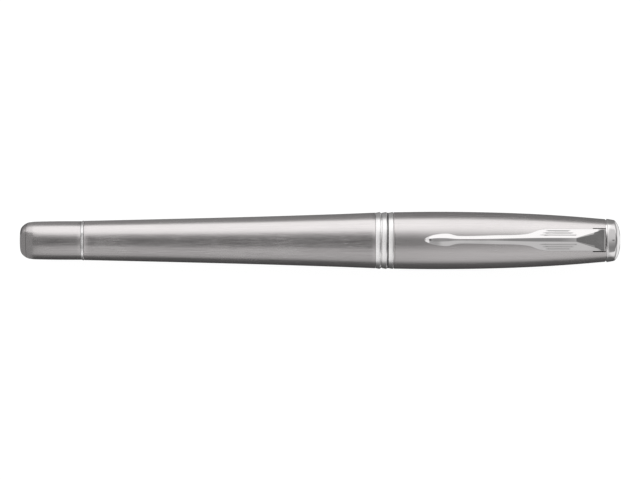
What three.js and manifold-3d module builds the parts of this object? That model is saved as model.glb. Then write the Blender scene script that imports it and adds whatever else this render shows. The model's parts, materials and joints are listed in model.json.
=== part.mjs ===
// A capped rollerball pen, lying level along X: tail at -X, crown at +X, clip up.
// Millimetres, +Z up. Stations are distances along the pen from its tail end, and radii are
// measured from the pen's own axis. The origin is on the table under the middle of the pen.
import * as THREE from 'three';
import { mergeVertices } from 'three/addons/utils/BufferGeometryUtils.js';
import Module from 'manifold-3d';

const wasm = await Module();
wasm.setup();

// Driving dimensions
const LENGTH = 137.5;
const AXIS_HEIGHT = 6.59;
const SHELL_SIDES = 32;
const REFILL_SIDES = 20;
const TIP_SIDES = 16;
const METAL_WALL = 0.45;
const JOINT_GAP = 0.05;

// Stations where the visible pieces meet
const PLUG_END = 1.42;
const TAIL_RING = [14.03, 14.69];
const BARREL_START = 14.74;
const MOUTH_RING = [81.49, 82.65];
const LIP_RING = [82.95, 85.62];
const LIP_GROOVE = [84.13, 84.43];
const BAND = { edge: 6.42, top: 6.52, bevel: 0.15 };
const GRIP_START = 83.95;
const NOSE_START = 112.5;
const NOSE_END = 118.4;
const TUBE_END = 134.15;
const CROWN_START = 134.45;

// Hidden fits
const REFILL_RADIUS = 3.15;
const REFILL_CLEARANCE = 3.25;
const REFILL_TUBE_BORE = 2.75;
const REFILL_PLUG_RADIUS = 2.68;
const REFILL_START = 11.2;
const REFILL_SHOULDER = 105.2;
const NECK_RADIUS = 2.2;
const NECK_CLEARANCE = 2.35;
const BUSH = { span: [72.3, 81.2], radius: 5.45, bore: 4.72 };
const THREAD = { span: [73, 80.6], radius: 4.6, chamfer: 0.5 };
const COLLAR_END = 88;
const COLLAR_RADIUS = 4.25;
const COLLAR_BORE = COLLAR_RADIUS + JOINT_GAP;
const LIP_BORE = 5.6;
const LIP_SPIGOT = 5.98;
const GROOVE_RADIUS = 6.1;
const CATCH_RING = { start: 88.2, thickness: 0.8, bore: 5.4, outer: 5.88, halfGap: 0.16 };
const SCREW_RADIUS = 1.05;
const SCREW_BORE = 1.15;
const BALL_RADIUS = 0.35;
const BALL_STATION = 120.85;

// Clip
const CLIP_TIP = 92.55;
const CLIP_ROOT = 133.35;
const CLIP_FACET = 127.16;
const CLIP_CREST = 0.28;
const CLIP_ROOF = 0.53;
const CLIP_EDGE_SHARE = 0.45;
const CLIP_SLOT = { start: 131.1, halfWidth: 2.75 };
const CLIP_RING = { start: 133.65, thickness: 0.45, radius: 4.35, tabHalf: 2.2, tabTop: 5.6 };

const MATERIALS = {
  satin: { color: 0xd4d2d1, roughness: 0.25, metalness: 1.0 },
  chrome: { color: 0xe6e4e2, roughness: 0.08, metalness: 1.0 },
  black: { color: 0x111113, roughness: 0.2, metalness: 0.0 },
  liner: { color: 0x2a2a2c, roughness: 0.55, metalness: 0.0 },
  brass: { color: 0xc4a25a, roughness: 0.35, metalness: 1.0 },
  steel: { color: 0xb4b6b8, roughness: 0.3, metalness: 1.0 },
  rubber: { color: 0x161616, roughness: 0.8, metalness: 0.0 },
  refill: { color: 0x3c3f45, roughness: 0.4, metalness: 0.0 },
  ink: { color: 0x10131c, roughness: 0.9, metalness: 0.0 },
  carbide: { color: 0x9a9ca0, roughness: 0.15, metalness: 1.0 },
};

// A smooth curve of value against station through [station, value] pairs.
function smooth(pairs) {
  const stations = pairs.map((pair) => pair[0]);
  const values = pairs.map((pair) => pair[1]);
  const curve = new THREE.CubicInterpolant(stations, values, 1, new Float64Array(1));
  return (station) => curve.evaluate(station)[0];
}

// Points of a curve at equal steps, as [station, value + offset] pairs.
function sampled(curve, from, to, steps, offset = 0) {
  return Array.from({ length: steps + 1 }, (_, i) => {
    const station = from + ((to - from) * i) / steps;
    return [station, curve(station) + offset];
  });
}

const tailRadius = smooth([
  [0.5, 3.26], [1.42, 3.97], [1.88, 4.13], [2.35, 4.21], [3.26, 4.31], [5.5, 4.37], [9.2, 4.42], [14, 4.43],
]);
const barrelRadius = smooth([
  [14.7, 4.52], [34.1, 4.948], [52.8, 5.424], [71.5, 6.01], [81.5, 6.39],
]);
const capRadius = smooth([
  [85.6, 6.49], [93.7, 6.586], [100.4, 6.565], [107.05, 6.458], [113.7, 6.25], [120.5, 5.93],
  [127.1, 5.49], [134.2, 4.89],
]);
const clipHalfWidth = smooth([
  [92.55, 0.2], [93, 0.52], [93.6, 0.78], [94.5, 1.1], [95.8, 1.34], [97.2, 1.47], [98.2, 1.42],
  [99.2, 1.14], [100.2, 0.95], [101.3, 0.9], [104, 0.93], [108, 1.05], [115.6, 1.34], [116.9, 1.62],
  [118.6, 2.25], [120.2, 2.52], [123, 2.55], [133.4, 2.55],
]);
const clipTop = smooth([
  [92.55, 7.35], [92.8, 7.62], [93.4, 7.92], [94.4, 7.98], [100, 8.08], [110, 8.25], [118, 8.12],
  [121, 7.95], [127.16, 7.3], [133.4, 6.4],
]);
const clipThickness = smooth([
  [92.55, 0.5], [93.3, 1.05], [95, 1.25], [97.5, 0.95], [102, 0.85], [118, 0.9], [133.4, 0.9],
]);

// A piece turned about the pen's axis, from [station, radius] pairs: the outside from tail to crown, then
// the bore back again. The flats, not the corners, lie on the stated radii.
function turned(profile, sides = SHELL_SIDES) {
  const cornerScale = 1 / Math.cos(Math.PI / sides);
  const points = profile.map(([station, radius]) => new THREE.Vector2(radius * cornerScale, station));
  const solid = profile[0][1] === 0;
  if (!solid) points.push(points[0].clone());
  return new THREE.LatheGeometry(points, sides, Math.PI / sides).rotateZ(-Math.PI / 2);
}

// A plain tube between two stations.
function tube([start, end], outer, bore, sides) {
  return turned([[start, outer], [end, outer], [end, bore], [start, bore]], sides);
}

// A plain rod between two stations.
function rod([start, end], radius, sides) {
  return turned([[start, 0], [start, radius], [end, radius], [end, 0]], sides);
}

// A flat shape across the pen, drawn as seen from the crown with Y and Z, made thick along the pen.
function plate(shape, start, thickness, curveSegments) {
  const geometry = new THREE.ExtrudeGeometry(shape, { depth: thickness, bevelEnabled: false, curveSegments });
  const alongPen = new THREE.Matrix4().makeBasis(
    new THREE.Vector3(0, 1, 0),
    new THREE.Vector3(0, 0, 1),
    new THREE.Vector3(1, 0, 0),
  );
  return geometry.applyMatrix4(alongPen).translate(start, 0, 0);
}

function toManifold(geometry) {
  const bare = geometry.clone();
  bare.deleteAttribute('normal');
  bare.deleteAttribute('uv');
  const merged = mergeVertices(bare, 1e-4);
  return new wasm.Manifold(new wasm.Mesh({
    numProp: 3,
    vertProperties: new Float32Array(merged.attributes.position.array),
    triVerts: new Uint32Array(merged.index.array),
  }));
}

function cut(geometry, tool) {
  const { vertProperties, triVerts } = toManifold(geometry).subtract(toManifold(tool)).getMesh();
  const result = new THREE.BufferGeometry();
  result.setAttribute('position', new THREE.BufferAttribute(vertProperties, 3));
  result.setIndex(new THREE.BufferAttribute(triVerts, 1));
  result.computeVertexNormals();
  return result;
}

function piece(name, geometry, look) {
  const mesh = new THREE.Mesh(geometry, new THREE.MeshStandardMaterial(MATERIALS[look]));
  mesh.name = name;
  return mesh;
}

// Barrel: a drawn metal tube with a slimmer tail sleeve, closed by a domed plug.

function tailPlug() {
  const dome = [[0, 0], [0, 2.1], [0.14, 2.68], [0.5, 3.26], [0.96, 3.66], [PLUG_END, 3.96]];
  return turned([...dome, [PLUG_END, 3.4], [4, 3.4], [4, 1.3], [5.6, 1.3], [5.6, 0]]);
}

function tailSleeve() {
  const start = PLUG_END + JOINT_GAP;
  const end = TAIL_RING[0] - JOINT_GAP;
  return turned([
    ...sampled(tailRadius, start, 3.3, 4),
    [7, tailRadius(7)],
    [end, tailRadius(end)],
    [end, 3.8],
    [4.2, 3.8],
    [4.2, 3.45],
    [start, 3.45],
  ]);
}

function tailRing() {
  const [start, end] = TAIL_RING;
  const edge = 0.12;
  return turned([
    [start, 4.45], [start + edge, 4.54], [end - edge, 4.56], [end, 4.48], [end, 3.8], [start, 3.8],
  ]);
}

function barrelTube() {
  const shoulder = MOUTH_RING[0] - JOINT_GAP;
  const outside = sampled(barrelRadius, 14.95, shoulder, 10);
  const inside = sampled(barrelRadius, 71, 16, 5, -METAL_WALL - JOINT_GAP);
  return turned([
    [8, 3.75], [BARREL_START, 3.75], [BARREL_START, 4.4],
    ...outside,
    [shoulder, 5.95], [82.6, 5.95], [82.6, 5.5], [72, 5.5],
    ...inside,
    [15.5, 3.3], [8, 3.3],
  ]);
}

// The ring at the barrel's mouth, with a low lip that the cap closes on.
function mouthRing() {
  const [start, end] = MOUTH_RING;
  const { bevel } = BAND;
  const lip = LIP_RING[0] - JOINT_GAP;
  return turned([
    [start, BAND.edge], [start + bevel, BAND.top], [end - bevel, BAND.top], [end, BAND.edge],
    [end, 6.3], [lip, 6.3], [lip, 6], [start, 6],
  ]);
}

function barrel() {
  const group = new THREE.Group();
  group.add(
    piece('tail_plug', tailPlug(), 'satin'),
    piece('tail_sleeve', tailSleeve(), 'satin'),
    piece('tail_ring', tailRing(), 'chrome'),
    piece('barrel_tube', barrelTube(), 'satin'),
    piece('barrel_thread_bush', tube(BUSH.span, BUSH.radius, BUSH.bore), 'brass'),
    piece('barrel_mouth_ring', mouthRing(), 'chrome'),
  );
  return group;
}

// Refill: an ink tube with a fibre core, a stepped nose and a rolling ball, pushed forward by a spring.

class Helix extends THREE.Curve {
  constructor(start, end, radius, turns) {
    super();
    Object.assign(this, { start, end, radius, turns });
  }

  getPoint(t, target = new THREE.Vector3()) {
    const angle = 2 * Math.PI * this.turns * t;
    const station = this.start + (this.end - this.start) * t;
    return target.set(station, this.radius * Math.cos(angle), this.radius * Math.sin(angle));
  }
}

function refillSpring() {
  const wireRadius = 0.25;
  const wire = new THREE.Shape().absarc(0, 0, wireRadius, 0, 2 * Math.PI);
  const path = new Helix(4.4, REFILL_START - wireRadius - 0.1, 2.2, 6);
  return new THREE.ExtrudeGeometry(wire, {
    steps: 78,
    curveSegments: 3,
    extrudePath: path,
    bevelEnabled: false,
  });
}

function refillEndPlug() {
  const rim = REFILL_START + 1;
  const end = rim + 2;
  return turned([
    [REFILL_START, 0], [REFILL_START, 2.9], [REFILL_START + 0.25, REFILL_RADIUS], [rim, REFILL_RADIUS],
    [rim, REFILL_PLUG_RADIUS], [end, REFILL_PLUG_RADIUS], [end, 0],
  ], REFILL_SIDES);
}

function refillTube() {
  return tube([REFILL_START + 1.05, 104], REFILL_RADIUS, REFILL_TUBE_BORE, REFILL_SIDES);
}

function refillFeed() {
  const collar = REFILL_SHOULDER - 1.15;
  const [start, socket, end] = [99, 114.8, 116.6];
  const [wickBore, socketBore, noseRadius] = [0.75, 1.08, 1.72];
  return turned([
    [start, REFILL_PLUG_RADIUS], [collar, REFILL_PLUG_RADIUS], [collar, REFILL_RADIUS],
    [REFILL_SHOULDER, REFILL_RADIUS], [REFILL_SHOULDER, NECK_RADIUS], [112.6, NECK_RADIUS],
    [112.9, noseRadius], [end, noseRadius],
    [end, socketBore], [socket, socketBore], [socket, wickBore], [start, wickBore],
  ], REFILL_SIDES);
}

function tipCone() {
  const lip = BALL_STATION + 0.15;
  return turned([
    [114.9, 1.02], [116.65, 1.02], [116.65, 1.18], [118.6, 1.18], [lip, 0.45],
    [lip, 0.335], [BALL_STATION, 0.41], [BALL_STATION - 0.25, 0.36], [BALL_STATION - 0.42, 0.2],
    [117.6, 0.2], [117.6, 0.7], [114.9, 0.7],
  ], TIP_SIDES);
}

function writingBall() {
  return new THREE.SphereGeometry(BALL_RADIUS, 14, 10).translate(BALL_STATION, 0, 0);
}

function refill() {
  const group = new THREE.Group();
  group.add(
    piece('refill_spring', refillSpring(), 'steel'),
    piece('refill_end_plug', refillEndPlug(), 'refill'),
    piece('refill_tube', refillTube(), 'refill'),
    piece('ink_reservoir', rod([14.5, 97.5], 2.65, REFILL_SIDES), 'ink'),
    piece('refill_feed', refillFeed(), 'black'),
    piece('feed_wick', rod([97.8, 117.4], 0.6, TIP_SIDES), 'ink'),
    piece('tip_cone', tipCone(), 'steel'),
    piece('writing_ball', writingBall(), 'carbide'),
  );
  return group;
}

// Grip section: the part that is held to write, screwed into the barrel's mouth.

function threadCollar() {
  const { span: [start, end], radius, chamfer } = THREAD;
  return turned([
    [start, radius - 0.3], [start + chamfer, radius], [end, radius], [end, COLLAR_RADIUS],
    [COLLAR_END, COLLAR_RADIUS], [COLLAR_END, REFILL_CLEARANCE], [start, REFILL_CLEARANCE],
  ]);
}

function oRing() {
  const thickness = 0.28;
  const station = 81.9;
  const ring = new THREE.TorusGeometry(COLLAR_RADIUS + thickness + 0.07, thickness, 6, SHELL_SIDES);
  return ring.rotateY(Math.PI / 2).translate(station, 0, 0);
}

function flangeRing() {
  const start = MOUTH_RING[1] + 0.07;
  const end = GRIP_START - JOINT_GAP;
  const radius = 5.45;
  return turned([
    [start, radius - 0.15], [start + 0.15, radius], [end - 0.3, radius], [end, radius - 0.25],
    [end, COLLAR_BORE], [start, COLLAR_BORE],
  ]);
}

const gripRadius = smooth([[91, 5.1], [97, 4.86], [104, 4.58], [109, 4.42], [112.5, 4.32]]);

function gripSleeve() {
  const catchRidge = [[89.2, 5.12], [89.45, 5.3], [90.15, 5.3], [90.5, 5.12]];
  const stop = REFILL_SHOULDER + 0.2;
  const collarSeat = COLLAR_END + 0.1;
  const [noseSeat, noseBore] = [109, 3];
  return turned([
    [GRIP_START, 5.05], [GRIP_START + 0.2, 5.15], ...catchRidge,
    ...sampled(gripRadius, 91, NOSE_START, 7),
    [NOSE_START, noseBore], [noseSeat, noseBore], [noseSeat, NECK_CLEARANCE], [stop, NECK_CLEARANCE],
    [stop, REFILL_CLEARANCE], [collarSeat, REFILL_CLEARANCE], [collarSeat, COLLAR_BORE],
    [GRIP_START, COLLAR_BORE],
  ]);
}

function noseCone() {
  const start = NOSE_START + JOINT_GAP;
  const [spigotStart, spigotRadius] = [109.3, 2.92];
  return turned([
    [spigotStart, spigotRadius], [start, spigotRadius],
    [start, 4.22], [113.4, 4.1], [114.8, 3.6], [116.4, 2.78], [117.7, 1.98], [NOSE_END, 1.55],
    [NOSE_END, 1.3], [116.8, 1.3], [116.8, 1.9], [114.8, 1.9],
    [114.8, NECK_CLEARANCE], [spigotStart, NECK_CLEARANCE],
  ]);
}

function section() {
  const group = new THREE.Group();
  group.add(
    piece('section_thread_collar', threadCollar(), 'black'),
    piece('section_o_ring', oRing(), 'rubber'),
    piece('section_flange_ring', flangeRing(), 'chrome'),
    piece('grip_sleeve', gripSleeve(), 'black'),
    piece('nose_cone', noseCone(), 'chrome'),
  );
  return group;
}

// Cap: a metal shell over a plastic inner cap, held together by a screw up into the crown.

function lipRing() {
  const [start, end] = LIP_RING;
  const [first, last] = LIP_GROOVE;
  const { edge, top, bevel } = BAND;
  return turned([
    [start, edge], [start + bevel, top], [first - bevel, top], [first, edge],
    [first, GROOVE_RADIUS], [last, GROOVE_RADIUS],
    [last, edge], [last + bevel, top], [end - bevel, top], [end, edge],
    [end, LIP_SPIGOT], [88, LIP_SPIGOT], [88, LIP_BORE], [start, LIP_BORE],
  ]);
}

// A split spring ring that snaps over the grip's ridge and holds the cap on.
function catchRing() {
  const { start, thickness, bore, outer, halfGap } = CATCH_RING;
  const from = halfGap - Math.PI / 2;
  const to = 1.5 * Math.PI - halfGap;
  const shape = new THREE.Shape();
  shape.absarc(0, 0, outer, from, to, false);
  shape.absarc(0, 0, bore, to, from, true);
  return plate(shape, start, thickness, 16);
}

function capTube() {
  const start = LIP_RING[1] + JOINT_GAP;
  const shell = turned([
    ...sampled(capRadius, start, TUBE_END, 10),
    ...sampled(capRadius, TUBE_END, start, 8, -METAL_WALL),
  ]);
  const length = 10;
  const slot = new THREE.BoxGeometry(length, 2 * CLIP_SLOT.halfWidth, 6);
  return cut(shell, slot.translate(CLIP_SLOT.start + length / 2, 0, 6));
}

// The plastic liner: an outer skirt against the shell, a web, and a pillar that carries the screw.
function innerCap() {
  const mouth = 89.2;
  const [skirtEnd, pillarEnd] = [132.9, 133.6];
  const web = [124.2, 126.2];
  const pillarRadius = 2.2;
  return turned([
    [mouth, 5.9], [mouth + 0.2, 5.95], [106, 5.92], [118, 5.5], [126, 4.95], [skirtEnd, 4.35],
    [skirtEnd, 3.6], [web[1], 4.2], [web[1], pillarRadius], [pillarEnd, pillarRadius],
    [pillarEnd, SCREW_BORE], [web[0], SCREW_BORE],
    [web[0], 3.9], [122, 4.2], [116, 4.7], [104, 5.45], [mouth, 5.45],
  ]);
}

function clipScrew() {
  const [head, neck, end] = [123.1, 123.9, 136];
  const headRadius = 1.9;
  return turned([
    [head, 0], [head, headRadius - 0.3], [head + 0.3, headRadius], [neck, headRadius],
    [neck, SCREW_RADIUS], [end, SCREW_RADIUS], [end, 0],
  ], REFILL_SIDES);
}

// The clip's own foot: a washer under the crown, with a tab that comes up through the shell's slot.
function clipRing() {
  const { start, thickness, radius, tabHalf, tabTop } = CLIP_RING;
  const lean = Math.asin(tabHalf / radius);
  const shape = new THREE.Shape();
  shape.moveTo(tabHalf, tabTop);
  shape.lineTo(-tabHalf, tabTop);
  shape.absarc(0, 0, radius, Math.PI / 2 + lean, 2.5 * Math.PI - lean, false);
  shape.closePath();
  shape.holes.push(new THREE.Path().absarc(0, 0, 1.25, 0, 2 * Math.PI, true));
  return plate(shape, start, thickness, 12);
}

function crown() {
  const spigotRadius = 4.72;
  const screwHoleEnd = 136.3;
  return turned([
    [TUBE_END, spigotRadius], [CROWN_START, spigotRadius],
    [CROWN_START, 4.88], [CROWN_START + 0.12, 4.97], [136.05, 4.75], [136.42, 4.54],
    [136.9, 3.86], [137.25, 2.98], [LENGTH, 1.9], [LENGTH, 0],
    [screwHoleEnd, 0], [screwHoleEnd, SCREW_BORE], [TUBE_END, SCREW_BORE],
  ]);
}

// The crest height of the clip: its spine, cut down near the crown by a sloping three-cornered facet.
function crestHeight(station) {
  const slope = 0.25;
  return Math.min(clipTop(station), clipTop(CLIP_FACET) - slope * (station - CLIP_FACET));
}

// Half the crest's width: constant along the spine, and the facet's own width near the crown.
function crestHalfWidth(station) {
  const spread = 0.29;
  const widest = 0.86 * clipHalfWidth(station);
  const wanted = CLIP_CREST + spread * Math.max(0, station - CLIP_FACET);
  return Math.min(wanted, widest);
}

// The clip's arm: a bar with a flat crest and two sloping sides, which follows the curves given above.
function clipArm() {
  const steps = 34;
  const crowding = 1.25;
  const crestEasing = 0.2;
  const geometry = new THREE.BoxGeometry(1, 1, 1, steps, 3, 1);
  const position = geometry.attributes.position;
  for (let i = 0; i < position.count; i += 1) {
    const along = (position.getX(i) + 0.5) ** crowding;
    const station = CLIP_TIP + (CLIP_ROOT - CLIP_TIP) * along;
    const side = Math.sign(position.getY(i));
    const atEdge = Math.abs(position.getY(i)) > 0.3;
    const halfWidth = clipHalfWidth(station);
    const edge = clipTop(station) - (halfWidth - crestEasing) * CLIP_ROOF;
    const top = atEdge ? edge : crestHeight(station);
    const thickness = clipThickness(station) * (atEdge ? CLIP_EDGE_SHARE : 1);
    const height = position.getZ(i) > 0 ? top : top - thickness;
    position.setXYZ(i, station, side * (atEdge ? halfWidth : crestHalfWidth(station)), height);
  }
  geometry.computeVertexNormals();
  return geometry;
}

function cap() {
  const group = new THREE.Group();
  group.add(
    piece('cap_lip_ring', lipRing(), 'chrome'),
    piece('cap_lip_inlay', tube(LIP_GROOVE, 6.4, GROOVE_RADIUS), 'black'),
    piece('cap_catch_ring', catchRing(), 'steel'),
    piece('cap_tube', capTube(), 'satin'),
    piece('inner_cap', innerCap(), 'liner'),
    piece('clip_screw', clipScrew(), 'steel'),
    piece('clip_ring', clipRing(), 'chrome'),
    piece('clip_arm', clipArm(), 'chrome'),
    piece('crown', crown(), 'chrome'),
  );
  return group;
}

const pen = new THREE.Group();
pen.name = 'rollerball_pen';
pen.add(barrel(), refill(), section(), cap());
pen.position.set(-LENGTH / 2, 0, AXIS_HEIGHT);

export default pen;
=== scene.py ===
"""Looks of a capped rollerball pen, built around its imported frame.

The pen lies along X with its tail at -X and its clip up. Outlines are lists of (station, radius) in
millimetres: a station is the distance from the tail's end, a radius is measured from the pen's axis.
"""

import json
import math

import bmesh
import bpy
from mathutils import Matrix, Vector


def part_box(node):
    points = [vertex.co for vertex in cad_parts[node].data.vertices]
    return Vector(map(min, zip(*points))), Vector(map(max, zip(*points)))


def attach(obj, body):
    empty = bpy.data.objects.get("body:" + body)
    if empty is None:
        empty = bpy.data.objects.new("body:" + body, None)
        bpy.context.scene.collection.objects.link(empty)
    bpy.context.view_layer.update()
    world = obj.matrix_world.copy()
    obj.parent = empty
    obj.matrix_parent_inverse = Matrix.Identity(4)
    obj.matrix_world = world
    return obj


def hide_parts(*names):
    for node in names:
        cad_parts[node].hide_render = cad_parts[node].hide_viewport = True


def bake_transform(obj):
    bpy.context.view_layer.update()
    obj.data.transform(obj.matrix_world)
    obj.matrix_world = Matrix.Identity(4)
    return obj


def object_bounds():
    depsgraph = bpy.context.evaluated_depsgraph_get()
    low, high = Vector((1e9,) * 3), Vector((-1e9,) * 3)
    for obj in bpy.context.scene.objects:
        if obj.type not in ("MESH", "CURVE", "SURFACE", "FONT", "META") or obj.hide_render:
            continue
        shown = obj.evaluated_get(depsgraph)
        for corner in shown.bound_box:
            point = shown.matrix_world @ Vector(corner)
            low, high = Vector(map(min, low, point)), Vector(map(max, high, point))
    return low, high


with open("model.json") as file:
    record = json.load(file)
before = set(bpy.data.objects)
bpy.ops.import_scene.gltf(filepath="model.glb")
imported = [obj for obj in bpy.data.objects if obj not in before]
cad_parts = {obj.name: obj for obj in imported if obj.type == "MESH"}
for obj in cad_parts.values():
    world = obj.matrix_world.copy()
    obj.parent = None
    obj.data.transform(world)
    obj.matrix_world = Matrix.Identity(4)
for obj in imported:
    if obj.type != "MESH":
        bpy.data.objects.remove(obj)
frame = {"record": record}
CAD_LOW, CAD_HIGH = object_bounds()

MM = 0.001
AXIS_Z = sum(corner.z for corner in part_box("crown")) / 2
BODY_OF = {
    node: body for body, nodes in frame["record"]["behaviour"]["bodies"].items() for node in nodes
}

# How finely the pieces are drawn, and which of their corners are broken and shaded sharp.
SHELL_SEGMENTS = 160
SMALL_SEGMENTS = 96
EASE = 0.05
FINE_EASE = 0.04
CROWN_EASE = 0.03
REAL_CORNER = math.radians(14)
SHARP_EDGE = math.radians(40)
ON_AXIS = 1e-6

# Sizes that several pieces share, in millimetres. A band's peak is a share of its width, and its fall
# is the power of the distance from that peak.
WALL = 0.45
THREAD_PITCH = 0.8
BAND_EDGE = 6.36
BAND_TOP = 6.52
BAND_PEAK = 0.8
BAND_FALL = 1.15
REFILL_RADIUS = 3.15
REFILL_BORE = 2.75
PLUG_RADIUS = 2.68
COLLAR_END = 80.6


# Places and outlines

def at(station, y, z):
    """A point in the shared frame, in metres, from millimetres along, across and above the axis."""
    return (CAD_LOW.x + station * MM, y * MM, AXIS_Z + z * MM)


def span(node):
    """The first and last station of a CAD node."""
    low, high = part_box(node)
    return (low.x - CAD_LOW.x) / MM, (high.x - CAD_LOW.x) / MM


def blend_value(a, b, slope_a, slope_b, t):
    """A cubic from a to b with the given changes over the stretch at its two ends."""
    a_part = a * (2 * t**3 - 3 * t**2 + 1) + slope_a * (t**3 - 2 * t**2 + t)
    return a_part + b * (3 * t**2 - 2 * t**3) + slope_b * (t**3 - t**2)


def curved(points, steps=6):
    """The outline as a smooth curve through the points, with steps chords between each two."""
    points = [Vector(point) for point in points]
    lengths = [(b - a).length for a, b in zip(points, points[1:])]
    slopes = [(points[1] - points[0]) / lengths[0]]
    for i in range(1, len(points) - 1):
        slopes.append((points[i + 1] - points[i - 1]) / (lengths[i] + lengths[i - 1]))
    slopes.append((points[-1] - points[-2]) / lengths[-1])
    result = [tuple(points[0])]
    for i, length in enumerate(lengths):
        for step in range(1, steps + 1):
            ends = (points[i], points[i + 1], slopes[i] * length, slopes[i + 1] * length)
            result.append(tuple(blend_value(*ends, step / steps)))
    return result


def smooth(pairs):
    """A smooth function of the station through (station, value) pairs."""
    secants = [(b[1] - a[1]) / (b[0] - a[0]) for a, b in zip(pairs, pairs[1:])]
    slopes = [secants[0], *((a + b) / 2 for a, b in zip(secants, secants[1:])), secants[-1]]

    def value(station):
        station = within(station, pairs[0][0], pairs[-1][0])
        i = next(k for k in range(len(secants)) if station <= pairs[k + 1][0])
        (start, a), (end, b) = pairs[i], pairs[i + 1]
        reach = end - start
        return blend_value(a, b, slopes[i] * reach, slopes[i + 1] * reach, (station - start) / reach)

    return value


def within(value, low=0, high=1):
    """The value, or the limit that it passes."""
    return min(max(value, low), high)


def steps_between(start, end, count):
    return [start + (end - start) * i / count for i in range(count + 1)]


def crowned(start, end, edge, top, count=15):
    """The outline of a rounded band, from edge radius up to top radius and back. Its highest line is
    nearer to its crown end, so most of it faces a little towards the tail."""
    peak = start + BAND_PEAK * (end - start)
    result = []
    for station in steps_between(start, end, count):
        away = (peak - station) / (peak - start) if station < peak else (station - peak) / (end - peak)
        result.append((station, top - (top - edge) * away**BAND_FALL))
    return result


def eased(outline, ease=EASE):
    """The outline with each real corner broken by a small arc. Smooth stretches stay as they are."""
    points = [Vector(point) for point in outline]
    closed = outline[0][1] > ON_AXIS
    result = []
    for i, point in enumerate(points):
        before, after = points[i - 1], points[(i + 1) % len(points)]
        arrive, leave = point - before, after - point
        on_end = not closed and i in (0, len(points) - 1)
        if on_end or point.y < ON_AXIS or arrive.angle(leave) < REAL_CORNER:
            result.append(tuple(point))
            continue
        reach = min(ease, 0.45 * arrive.length, 0.45 * leave.length)
        first = point - arrive.normalized() * reach
        last = point + leave.normalized() * reach
        for t in (0, 0.25, 0.5, 0.75, 1):
            result.append(tuple(first * (1 - t) ** 2 + point * 2 * t * (1 - t) + last * t**2))
    return result


# Pieces

def finish_mesh(name, bm, material):
    """An object from a bmesh: faces out, smooth but for real edges, flats shaded flat."""
    bmesh.ops.recalc_face_normals(bm, faces=bm.faces)
    mesh = bpy.data.meshes.new(name)
    bm.to_mesh(mesh)
    bm.free()
    mesh.materials.append(material)
    for polygon in mesh.polygons:
        polygon.use_smooth = True
    mesh.set_sharp_from_angle(angle=SHARP_EDGE)
    piece = bpy.data.objects.new(name, mesh)
    bpy.context.scene.collection.objects.link(piece)
    shading = piece.modifiers.new("flat_faces", "WEIGHTED_NORMAL")
    shading.keep_sharp = True
    return piece


def stand_in(piece, slot, *nodes):
    """The piece takes the CAD nodes' place, on the first one's body."""
    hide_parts(*nodes)
    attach(piece, BODY_OF[nodes[0]])


def add_face(bm, row, after, column):
    """The face between two rows of vertices that run round a piece, from a column to the next."""
    following = (column + 1) % len(row)
    corners = dict.fromkeys([row[column], row[following], after[following], after[column]])
    if len(corners) > 2:
        bm.faces.new(corners)


def swept_bmesh(rows):
    """A solid through rows of points, each a closed loop, with its first and last row filled."""
    bm = bmesh.new()
    rows = [[bm.verts.new(point) for point in row] for row in rows]
    for row, after in zip(rows, rows[1:]):
        for column in range(len(row)):
            add_face(bm, row, after, column)
    bm.faces.new(rows[0])
    bm.faces.new(rows[-1])
    return bm


def turned_bmesh(outline, segments, relief=None):
    """An outline turned about the pen's axis. Relief changes each point's radius: it gets the station,
    the angle from the clip and the radius."""
    bm = bmesh.new()
    rows = []
    for station, radius in outline:
        if radius < ON_AXIS:
            rows.append([bm.verts.new(at(station, 0, 0))] * segments)
            continue
        row = []
        for k in range(segments):
            angle = 2 * math.pi * k / segments
            r = relief(station, angle, radius) if relief else radius
            row.append(bm.verts.new(at(station, r * math.sin(angle), r * math.cos(angle))))
        rows.append(row)
    following = rows[1:] + (rows[:1] if outline[0][1] > ON_AXIS else [])
    for row, after in zip(rows, following):
        for column in range(segments):
            add_face(bm, row, after, column)
    return bm


def turned(name, outline, material, segments=SMALL_SEGMENTS, ease=EASE, relief=None):
    return finish_mesh(name, turned_bmesh(eased(outline, ease), segments, relief), material)


def thread(start, end, rise, applies):
    """Relief of a right-handed screw thread between two stations, which fades out at both. It raises
    the radius by up to rise, where applies(station, radius) is true."""
    root_width, flank_width, fade_length = 0.2, 0.5, 0.5

    def relief(station, angle, radius):
        if not applies(station, radius):
            return radius
        turn = (station - start) / THREAD_PITCH - angle / (2 * math.pi)
        ridge = abs(2 * (turn % 1) - 1)
        flank = within((ridge - root_width) / flank_width)
        return radius + rise * flank * within(min(station - start, end - station) / fade_length)

    return relief


# Materials

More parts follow.
